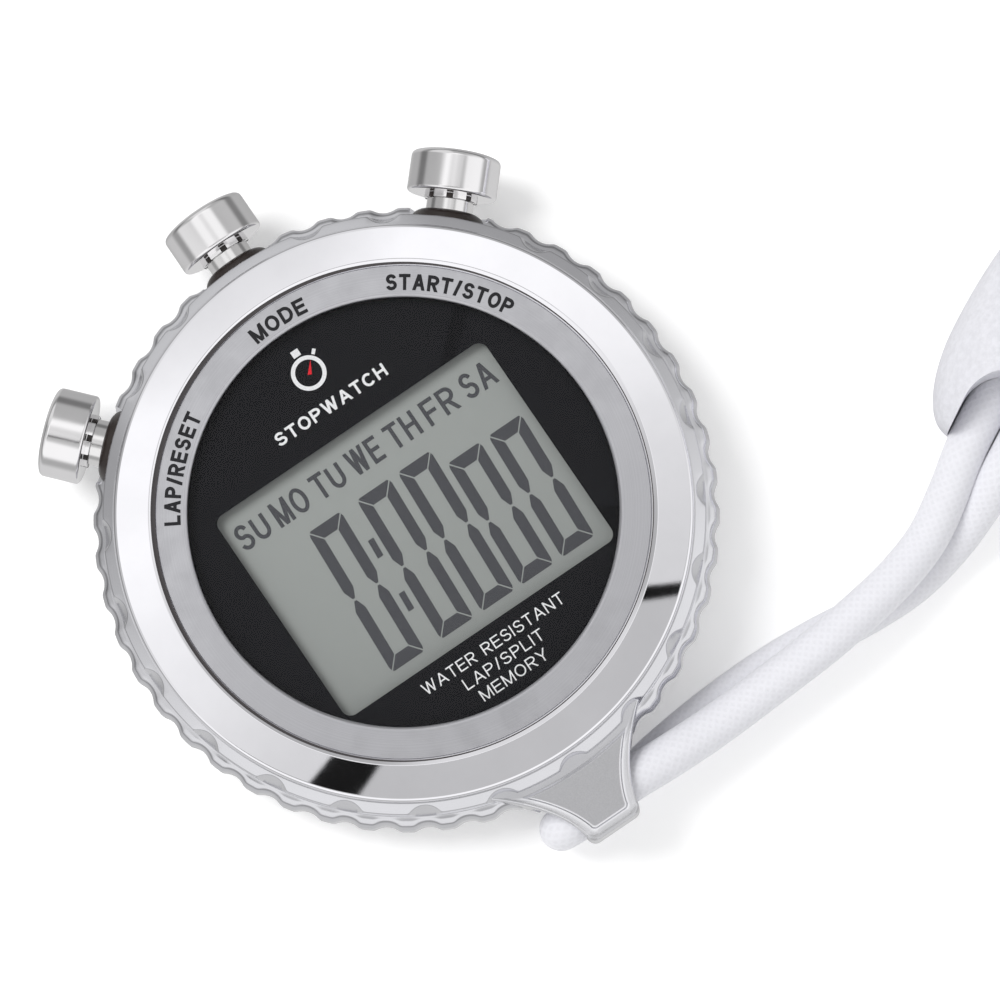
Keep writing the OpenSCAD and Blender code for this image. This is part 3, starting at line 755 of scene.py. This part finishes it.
def make_front(metal, satin_ring, glass, mask, seal):
    groove = BEZEL_TOP - 0.3
    bezel = rounded([
        (24.3, LEDGE_Z - 0.4), (27.2, LEDGE_Z - 0.4), (27.2, SEAT_Z), (SEAT_R, SEAT_Z), (SEAT_R, CASE_TOP),
        (BEZEL_R - 0.05, CASE_TOP + 0.02), (BEZEL_R, CASE_TOP + 0.25), (BEZEL_R, CASE_TOP + 0.75),
        (BEZEL_R - 0.28, CASE_TOP + 1.02), (LABEL_RING_R + 0.7, BEZEL_TOP), (LABEL_RING_R + 0.28, groove),
        (LABEL_RING_R + 0.13, groove), (LABEL_RING_R, BEZEL_TOP - 0.5), (LABEL_RING_R, LEDGE_Z),
        (24.3, LEDGE_Z),
    ], [0, 0, 0, 0, 0, 0.1, 0.2, 0.35, 0.25, 0.1, 0.08, 0.05, 0.08, 0, 0])
    piece("bezel_polished", *lathe(bezel, 384), metal, slot="bezel_chrome", replaces=("bezel",), smooth=30)
    glass_top = CRYSTAL_Z + CRYSTAL_T
    ring = rounded([
        (CRYSTAL_R + 0.05, LEDGE_Z), (LABEL_RING_R, LEDGE_Z), (LABEL_RING_R, RING_OUTER_Z),
        (DIAL_R + 0.3, RING_INNER_Z), (DIAL_R, RING_INNER_Z - 0.25), (DIAL_R, glass_top),
        (CRYSTAL_R + 0.05, glass_top),
    ], [0, 0, 0.06, 0.12, 0.1, 0, 0])
    piece("label_ring_satin", *lathe(ring, 384), satin_ring, slot="ring_satin", replaces=("label_ring",),
          smooth=30)
    # The black strip in the groove is painted shade, not a part of the watch.
    piece("bezel_painted_shade_seam", *painted_shade_seam_line(), seal, slot="rubber_black", smooth=30)
    disc = [(0, CRYSTAL_Z), (CRYSTAL_R - 0.1, CRYSTAL_Z), (CRYSTAL_R, CRYSTAL_Z + 0.1),
            (CRYSTAL_R, glass_top - 0.1), (CRYSTAL_R - 0.1, glass_top), (0, glass_top)]
    piece("crystal_flat", *lathe(disc, 256), glass, slot="crystal_glass", replaces=("crystal",), smooth=30)
    foil = [(0, CRYSTAL_Z - MASK_T), (MASK_R, CRYSTAL_Z - MASK_T), (MASK_R, CRYSTAL_Z), (0, CRYSTAL_Z)]
    made = bare("dial_mask_printed", *lathe(foil, 256))
    window = [(x, y + WINDOW_Y) for x, y in round_rectangle(WINDOW_W, WINDOW_H, 1.1, 10)]
    cut(made, prism(window, 10, 15))
    finish_piece(made, mask, replaces=("dial_mask",))


def zero_segments(w, h):
    """The six lit segments of a 0: trapezoids at its ends and pointed bars along its sides."""
    bar, end, gap, nose, slant = 1.22, 1.42, 0.07, 1.1, 0.35
    tip = h / 2 - gap * 2
    shapes = []
    for flip in (False, True):
        cap = [(slant, 0), (w - slant, 0), (w - slant * 0.55, 0.12), (w - bar - gap, end), (bar + gap, end),
               (slant * 0.55, 0.12)]
        side = [(0, slant + 0.2), (slant * 0.3, 0.24), (bar - gap * 0.4, end + gap * 1.3), (bar, end + 0.3),
                (bar, tip - nose), (bar * 0.62, tip), (bar * 0.38, tip), (0, tip - nose)]
        for shape in (cap, side, [(w - x, y) for x, y in side]):
            shapes.append([(x, h - y) if flip else (x, y) for x, y in shape])
    return shapes


def glyph(letter):
    """Width and strokes of a plain capital in a unit cell. Two points are a straight bar, more are a curve."""
    left, right, top, foot = [(0, 0), (0, 1)], [(1, 0), (1, 1)], [(0, 1), (1, 1)], [(0, 0), (1, 0)]
    bowl = [(0, 1), (0.5, 1)] + bow(0.52, 0.735, 0.48, 0.265, 90, -90) + [(0.5, 0.47), (0, 0.47)]
    shapes = {
        "A": (0.92, [[(0, 0), (0.5, 1)], [(1, 0), (0.5, 1)], [(0.2, 0.3), (0.8, 0.3)]]),
        "C": (0.84, [bow(0.52, 0.5, 0.52, 0.5, 42, 318, 26)]),
        "D": (0.82, [left, [(0, 1), (0.4, 1)] + bow(0.42, 0.5, 0.58, 0.5, 90, -90, 20) + [(0.4, 0), (0, 0)]]),
        "E": (0.72, [left, top, foot, [(0, 0.52), (0.94, 0.52)]]),
        "F": (0.68, [left, top, [(0, 0.5), (0.88, 0.5)]]),
        "H": (0.80, [left, right, [(0, 0.52), (1, 0.52)]]),
        "I": (0.02, [left]),
        "L": (0.64, [left, foot]),
        "M": (0.96, [left, right, [(0, 1), (0.5, 0)], [(1, 1), (0.5, 0)]]),
        "N": (0.80, [left, right, [(0, 1), (1, 0)]]),
        "O": (0.90, [bow(0.5, 0.5, 0.5, 0.5, 0, 360, 36)]),
        "P": (0.74, [left, bowl]),
        "R": (0.78, [left, bowl, [(0.45, 0.5), (0.97, 0)]]),
        "S": (0.76, [bow(0.5, 0.75, 0.44, 0.25, 12, 260) + bow(0.5, 0.265, 0.5, 0.265, 82, -168)]),
        "T": (0.76, [top, [(0.5, 0), (0.5, 1)]]),
        "U": (0.80, [[(0, 1), (0, 0.36)] + bow(0.5, 0.34, 0.5, 0.34, 180, 360, 20) + [(1, 0.36), (1, 1)]]),
        "W": (1.26, [[(0, 1), (0.26, 0)], [(0.5, 1), (0.26, 0)], [(0.5, 1), (0.74, 0)], [(1, 1), (0.74, 0)]]),
        "Y": (0.84, [[(0, 1), (0.5, 0.42)], [(1, 1), (0.5, 0.42)], [(0.5, 0), (0.5, 0.5)]]),
        "/": (0.34, [[(0, 0), (1, 1)]]),
        " ": (0.3, []),
    }
    return shapes[letter]


def bar_outline(p, q, w, h, t):
    """A straight stroke with level ends, or with upright ends where it lies flat."""
    (px, py), (qx, qy) = p, q
    if abs(py - qy) < 0.05:
        return box((px + qx) / 2 * w, t / 2 + py * (h - t), (qx - px) * w, t)
    x0, x1 = t / 2 + px * (w - t), t / 2 + qx * (w - t)
    y0, y1 = py * h, qy * h
    half = t / 2 * math.hypot(x1 - x0, y1 - y0) / abs(y1 - y0)
    return [(x0 - half, y0), (x0 + half, y0), (x1 + half, y1), (x1 - half, y1)]


def stroke_solids(line, weight):
    """The short prisms of a curved stroke through the line's points."""
    sides = []
    for i, spot in enumerate(line):
        before, after = spot - line[max(i - 1, 0)], line[min(i + 1, len(line) - 1)] - spot
        if (line[0] - line[-1]).length < 1e-6 and i in (0, len(line) - 1):
            before, after = line[-1] - line[-2], line[1] - line[0]
        along = (before.normalized() + after.normalized()).normalized()
        across = Vector((-along.y, along.x)) * weight / 2
        sides.append((tuple(spot + across), tuple(spot - across)))
    return [prism([a, b, d, c], 0, 1.0) for (a, b), (c, d) in zip(sides, sides[1:])]


def words(text, height, width, weight):
    """Capitals one unit deep, centred on x and standing on y = 0, with strokes weight wide."""
    cells = [glyph(c) for c in text]
    gap = 0.22
    scale = (width - weight * len(text)) / (sum(cell for cell, _ in cells) + gap * (len(text) - 1))
    solids, x = [], -width / 2
    for cell, strokes in cells:
        w = cell * scale + weight
        for order, stroke in enumerate(strokes):
            if len(stroke) == 2:
                # Bars that cross have tops at different heights, so that no two faces coincide.
                bar = [(x + px, py) for px, py in bar_outline(*stroke, w, height, weight)]
                solids.append(prism(bar, 0, 1.1 + 0.1 * order))
                continue
            line = [Vector((x + weight / 2 + px * (w - weight), weight / 2 + py * (height - weight)))
                    for px, py in stroke]
            solids += stroke_solids(line, weight)
        x += w + gap * scale
    return join(solids)


def make_display(glass, ink):
    """Two glass plates and the segments between them, drawn on the upper plate's face."""
    plates = [prism(box(0, WINDOW_Y, w, h), low, high)
              for w, h, low, high in ((35.4, 26.6, 9.4, 10.4), (35.4, 25.9, 10.4, 11.35))]
    made = bare("lcd_glass_plates", *join(plates))
    soften(made, 0.08, 2)
    finish_piece(made, glass, replaces=("lcd_panel",))
    shapes = []
    for left, height in ((-10.5, 17.3), (-4.27, 17.3), (0.96, 17.3), (5.96, 15.1), (11.19, 15.1)):
        for outline in zero_segments(4.2, height):
            shapes.append([(left + x + y * DIGIT_SLANT, y - 13.25) for x, y in outline])
    for y in (-1.31, -7.81):
        shapes.append([(px - 4.45 + py * 0.07, py) for px, py in box(0, y, 0.7, 2.16)])
    digits = join(prism(shape, SEGMENT_Z, SEGMENT_Z + 0.02) for shape in shapes)
    piece("lcd_segments", *digits, ink, slot="mask_black", smooth=10)
    days = []
    for word, centre, width in (
            ("SU", -14.35, 3.75), ("MO", -9.55, 4.1), ("TU", -4.7, 3.65), ("WE", -0.05, 3.9),
            ("TH", 4.8, 3.7), ("FR", 9.55, 3.9), ("SA", 14.4, 3.85)):
        verts, faces = words(word, 2.85, width, 0.43)
        days.append(([(centre + x, 6.05 + y, SEGMENT_Z + z * 0.02) for x, y, z in verts], faces))
    piece("lcd_weekdays", *join(days), ink, slot="mask_black", smooth=10)


def ring_height(r):
    return RING_INNER_Z + (RING_OUTER_Z - RING_INNER_Z) * (r - DIAL_R - 0.3) / (LABEL_RING_R - DIAL_R - 0.3)


def make_labels(black, white, red):
    for name, text, clock, width in (("start_stop", "START/STOP", 46, 14.0), ("mode", "MODE", 1, 6.7),
                                     ("lap_reset", "LAP/RESET", -45, 12.3)):
        verts, faces = words(text, 1.75, width, 0.36)
        curved = []
        for x, y, z in verts:
            r = 23.5 + y
            a = math.radians(90 - clock) - x / 24.6
            curved.append(polar(r, a, ring_height(r) + 0.006 + z * 0.03))
        piece(f"label_{name}", curved, faces, black, slot="mask_black", smooth=20)
    level, ink = CRYSTAL_Z + 0.001, 0.012
    for name, text, foot, height, width, weight in (
            ("title", "STOPWATCH", 13.12, 1.45, 13.9, 0.28),
            ("line_1", "WATER RESISTANT", -17.46, 1.3, 17.7, 0.15),
            ("line_2", "LAP/SPLIT", -19.46, 1.3, 9.9, 0.15), ("line_3", "MEMORY", -21.42, 1.3, 8.3, 0.15)):
        verts, faces = words(text, height, width, weight)
        piece(f"print_{name}", [(x, foot + y, level + z * ink) for x, y, z in verts], faces, white,
              slot="mask_black", smooth=20)
    # A plain pictogram of a stopwatch: a ring, two pushers and a hand.
    verts = [(x, y, z) for r in (1.9, 1.45) for z in (level, level + ink)
             for x, y in arc(0, 18.0, r, 0, 360, 48)[:-1]]
    n = len(verts) // 4
    ring = [[a * n + i, a * n + (i + 1) % n, b * n + (i + 1) % n, b * n + i]
            for a, b in ((0, 1), (3, 2), (1, 3), (2, 0)) for i in range(n)]
    buttons = [prism(outline, level, level + ink) for outline in (
        box(0, 20.5, 0.9, 0.8), [(1.35, 19.55), (1.62, 19.28), (2.05, 19.71), (1.78, 19.98)])]
    piece("print_pictogram", *join([(verts, ring), *buttons]), white, slot="mask_black", smooth=20)
    hand = prism([(-0.2, 17.9), (0.2, 17.7), (0.95, 19.1)], level, level + ink)
    piece("print_pictogram_hand", *hand, red, slot="mask_black", smooth=20)


# ---- pushers

def make_cap(name, direction, metal, dark):
    """A crown-like cap: a polished barrel over a narrower collar cut into a castle wall."""
    start, end, skirt = CAP_REACH + 0.02, CAP_REACH + CAP_LEN, CAP_REACH + COLLAR_LEN
    barrel, bore_end = CAP_R + BARREL_SWELL, CAP_REACH + 3.4
    profile = rounded([
        (1.9, start), (COLLAR_R, start), (COLLAR_R, skirt), (barrel, skirt), (barrel, end - 0.55),
        (CAP_R - 0.9, end - 0.2), (0, end), (0, bore_end), (1.9, bore_end),
    ], [0, 0.12, 0, 0.4, 0.5, 1.2, 0, 0, 0], 6)
    made = bare(f"cap_{name}_polished", *on_pusher(lathe(profile, 144), direction))
    slot = prism(box(2.8, 0, 1.2, 0.72), CAP_REACH - 0.4, skirt - 0.04)
    for i in range(CASTLE_SLOTS):
        turn = Matrix.Rotation(2 * math.pi * i / CASTLE_SLOTS, 4, "Z")
        cut(made, on_pusher(placed(slot, turn, (0, 0, 0)), direction))
    soften(made, 0.05, 2, 50)
    finish_piece(made, metal, f"{name}_pusher", (f"cap_{name}",))
    # Painted shade: a dark ring behind the teeth of the collar, so that the gaps between them look dark.
    low, high, outer = CAP_REACH + 0.06, skirt - 0.02, COLLAR_R - 0.14
    painted_shade_sleeve = lathe([(2.0, low), (outer, low), (outer, high), (2.0, high)], 64)
    piece(f"sleeve_{name}", *on_pusher(painted_shade_sleeve, direction), dark, f"{name}_pusher", "rubber_black")


def make_seal(name, direction, rubber):
    """Black rubber seal that domes out of the recess round a stem."""
    inner, outer = STEM_R + 0.06, RECESS_R - 0.04
    profile = rounded([(r, TUBE_END_S + rise) for r, rise in (
        (inner, 0), (outer, 0), (outer, 0.9), (3.6, 1.75), (2.95, 2.1), (inner, 1.9))],
        [0, 0, 0.3, 0.4, 0.2, 0], 4)
    piece(f"seal_{name}", *on_pusher(lathe(profile, 96), direction), rubber, slot="rubber_black",
          replaces=(f"washer_{name}",))


def make_springs(name, direction, steel, gold):
    """The return spring and the leaf contact, drawn at rest. In the watch both give way when the pusher goes
    in.
    """
    node = f"spring_{name}"
    made = bpy.data.objects.new(f"{node}_coil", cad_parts[node].data.copy())
    show(made)
    finish_piece(made, steel, None, (node,))
    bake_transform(made)
    foot = PUSHER_Z - BOARD_TOP
    tall = [foot - (foot + 1.6) * i / 28 for i in range(29)]
    front, back, toe = LEAF_S + 0.1, LEAF_S - 0.1, LEAF_S - 1.3
    outline = [(x, front) for x in tall] + [(x, back) for x in reversed(tall) if x < foot - 0.21]
    outline += [(foot - 0.2, back), (foot - 0.2, toe), (foot, toe)]
    verts, faces = prism(outline, -1.5, 1.5)
    leaf = [(x, z, y) for x, y, z in verts], faces
    made = bare(f"contact_{name}_leaf", *on_pusher(leaf, direction))
    finish_piece(made, gold, None, (f"contact_{name}",))
    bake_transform(made)


# ---- lights and floor

def environment():
    """A white room: softboxes overhead with a narrow dark gap between them, over grey walls."""
    world = bpy.data.worlds.new("studio")
    world.use_nodes = True
    bpy.context.scene.world = world
    room = Nodes(world.node_tree)
    calc = room.math

    def step(value, low, high, a=0.0, b=1.0):
        """A smooth run from a to b between low and high."""
        return room.between(value, a, b, (low, high), interpolation_type="SMOOTHSTEP")

    def blend(share, a, b):
        """All of a where share is 1 and all of b where it is 0."""
        return calc("ADD", calc("MULTIPLY", share, a), calc("MULTIPLY", calc("SUBTRACT", 1.0, share), b))

    towards = room.node("TexCoord").outputs["Generated"]
    x, y, z = room.node("SeparateXYZ", {0: towards}).outputs
    # Distance from the gap between the two overhead softboxes, which narrows towards 3 o'clock.
    off = calc("ADD", calc("ADD", y, calc("MULTIPLY", x, 0.068)), 0.1123)
    half = calc("SUBTRACT", 0.0125, calc("MULTIPLY", x, 0.0330))
    clear = step(calc("SUBTRACT", calc("ABSOLUTE", off), half), -0.001, 0.002)
    near = calc("SUBTRACT", step(y, -0.11, 0.27, 0.68, 1.02), step(y, 0.35, 0.43, 0.0, 0.26))
    both = blend(step(off, -0.005, 0.005, 1.0, 0.0), 0.53, near)
    # A dim patch straight above, where the camera hangs.
    spot = room.length(calc("SUBTRACT", x, -0.02), calc("SUBTRACT", y, 0.115))
    camera = step(spot, 0.05, 0.19, 0.80, 1.0)
    overhead = calc("ADD", calc("MULTIPLY", calc("MULTIPLY", both, clear), camera), 0.01)
    # Lower down the room is bright behind 6 o'clock and dim behind 12 o'clock, and grey near the floor.
    flat = room.length(x, y)
    ahead = calc("DIVIDE", y, flat)
    turned = calc("ADD", ahead, calc("MULTIPLY", calc("DIVIDE", x, flat), 0.2))
    walls = calc("ADD", step(turned, -0.50, 0.66, 1.0, 0.44), step(ahead, 0.80, 0.93, 0.0, 0.30))
    under = step(z, -0.35, -0.05, 0.25, 0.0)
    low = calc("ADD", calc("MULTIPLY", walls, step(z, 0.10, 0.34, 0.42)), under)
    light = blend(step(z, 0.80, 0.90), overhead, low)
    background = room.nodes["Background"].inputs
    room.links.new(light, background["Strength"])
    background["Color"].default_value = (1, 1, 1, 1)


def make_lamp():
    """A round lamp aimed at the watch, which mirrors don't show."""
    data = bpy.data.lights.new("key", "AREA")
    data.shape = "DISK"
    data.size = 0.5
    data.energy = 5.5
    lamp = bpy.data.objects.new("key", data)
    lamp.location = (-0.30, 0.45, 0.8)
    aim = Vector((0.01, -0.005, 0.01)) - lamp.location
    lamp.rotation_euler = aim.to_track_quat("-Z", "Y").to_euler()
    lamp.visible_glossy = False
    show(lamp)


def make_floor():
    s = Shader("studio_floor", (0.92, 0.92, 0.92), 0.0, 0.9, Emission_Strength=0.22)
    s.vary_colour(s.noise(60, 2), 0.99, 1.01)
    floor = bare("floor", [(x, y, -0.02) for x, y in box(50, 0, 1300, 1200)], [[0, 1, 2, 3]])
    floor.data.materials.append(s.material)
    # Polished metal mirrors the grey room below the horizon instead of the white floor.
    floor.visible_glossy = False


# ---- the scene

def finish_node(pattern, material):
    """Coats every shown CAD node whose name starts with the pattern."""
    for name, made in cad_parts.items():
        if name.startswith(pattern):
            coat(made, material)


def main():
    bpy.context.scene.view_settings.view_transform = "Standard"
    make_camera()

    line = smooth_line(lanyard_route(), 0.5)
    cord = cord_tube("lanyard_cord", line, CORD_D, 36, braid("cord_braid", (0.76, 0.76, 0.80)))
    bead = make_bead(satin("bead_plastic", (0.70, 0.70, 0.74), 0.34, 0.7, 0.0))

    # A later row overrules an earlier one whose pattern fits the same node.
    rubber = satin("rubber_look", (0.02, 0.02, 0.022), 0.6, 0.15, 0.0)
    for pattern, look in (
            ("", satin("steel_spare", (0.6, 0.6, 0.6), 0.3)),
            ("case_back", ring_brushed("back_steel_look", (0.62, 0.62, 0.64), 0.3)),
            ("back_screws", polished("screw_steel_look", (0.6, 0.6, 0.62), 0.2)),
            ("module_screws", polished("module_screw_look", (0.6, 0.6, 0.62), 0.2)),
            ("stem_", polished("stem_steel_look", (0.85, 0.84, 0.84), 0.1)),
            ("tube_", satin("tube_brass_look", (0.72, 0.58, 0.32), 0.3, 0.08)),
            ("buzzer_springs", polished("buzzer_spring_look", (0.6, 0.6, 0.62), 0.2)),
            ("clip_", satin("clip_steel_look", (0.3, 0.3, 0.32), 0.35, 0.08)),
            ("washer_", rubber), ("oring_", rubber), ("crystal_gasket", rubber), ("back_gasket", rubber),
            ("buzzer_disc", ring_brushed("buzzer_brass_look", (0.75, 0.6, 0.33), 0.35)),
            ("battery", polished("battery_steel_look", (0.65, 0.65, 0.66), 0.22)),
            ("battery_strap", satin("strap_steel_look", (0.62, 0.62, 0.64), 0.3, 0.08)),
            ("battery_frame", satin("module_plastic_look", (0.78, 0.78, 0.75), 0.45, 0.3, 0.0)),
            ("lcd_frame", satin("frame_plastic_look", (0.78, 0.78, 0.75), 0.45, 0.3, 0.0)),
            ("circuit_board", satin("board_green_look", (0.03, 0.2, 0.08), 0.4, 0.4, 0.0)),
            ("chip_cover", satin("chip_black_look", (0.02, 0.02, 0.02), 0.35, 0.3, 0.0)),
            ("chip_parts", satin("part_ceramic_look", (0.45, 0.33, 0.2), 0.5, 0.1, 0.0)),
            ("quartz_crystal", satin("can_steel_look", (0.7, 0.7, 0.72), 0.25, 0.08)),
            ("zebra_strips", satin("elastomer_look", (0.09, 0.09, 0.1), 0.6, 0.1, 0.0)),
            ("lcd_reflector", satin("reflector_look", (0.7, 0.7, 0.7), 0.4, 0.06))):
        finish_node(pattern, look)

    make_case(polished("case_metal_look", (0.73, 0.73, 0.76), 0.15),
              satin("lug_face_look", (0.60, 0.60, 0.62), 0.32, 0.12),
              # The last look is a brighter copy of the case polish: a painted highlight on the lug's raised
              # rim.
              polished("lug_lip_painted_highlight_look", (0.88, 0.88, 0.91), 0.2))
    make_front(polished("bezel_chrome_look", (0.945, 0.94, 0.975), 0.02, 0.12),
               ring_brushed("ring_satin_look", (0.63, 0.63, 0.66), 0.38), clear_glass(),
               print_ink("mask_black_look", (0.007, 0.007, 0.009), 0.45),
               # The last look colours the painted shade in the bezel groove.
               satin("groove_painted_shade_look", (0.045, 0.04, 0.042), 0.4, 0.1, 0.0))
    make_display(display_glass(), print_ink("segment_grey", (0.066, 0.066, 0.074), 0.4))
    make_labels(print_ink("ink_black", (0.02, 0.02, 0.022)), print_ink("ink_white", (0.75, 0.75, 0.76)),
                print_ink("ink_red", (0.65, 0.02, 0.03)))
    cap_look = polished("cap_chrome_look", (0.92, 0.91, 0.92), 0.1)
    # One look serves the real rubber seals and the painted shade behind the collar teeth.
    seal_and_painted_shade_look = satin("seal_and_painted_shade_look", (0.022, 0.016, 0.014), 0.3, 0.25, 0.0)
    gold_look = satin("contact_gold_look", (0.8, 0.62, 0.28), 0.25, 0.06)
    spring_look = polished("spring_steel_look", (0.6, 0.6, 0.62), 0.2)
    for name, direction in PUSHERS.items():
        make_cap(name, direction, cap_look, seal_and_painted_shade_look)
        make_seal(name, direction, seal_and_painted_shade_look)
        make_springs(name, direction, spring_look, gold_look)

    environment()
    make_lamp()
    make_floor()


main()
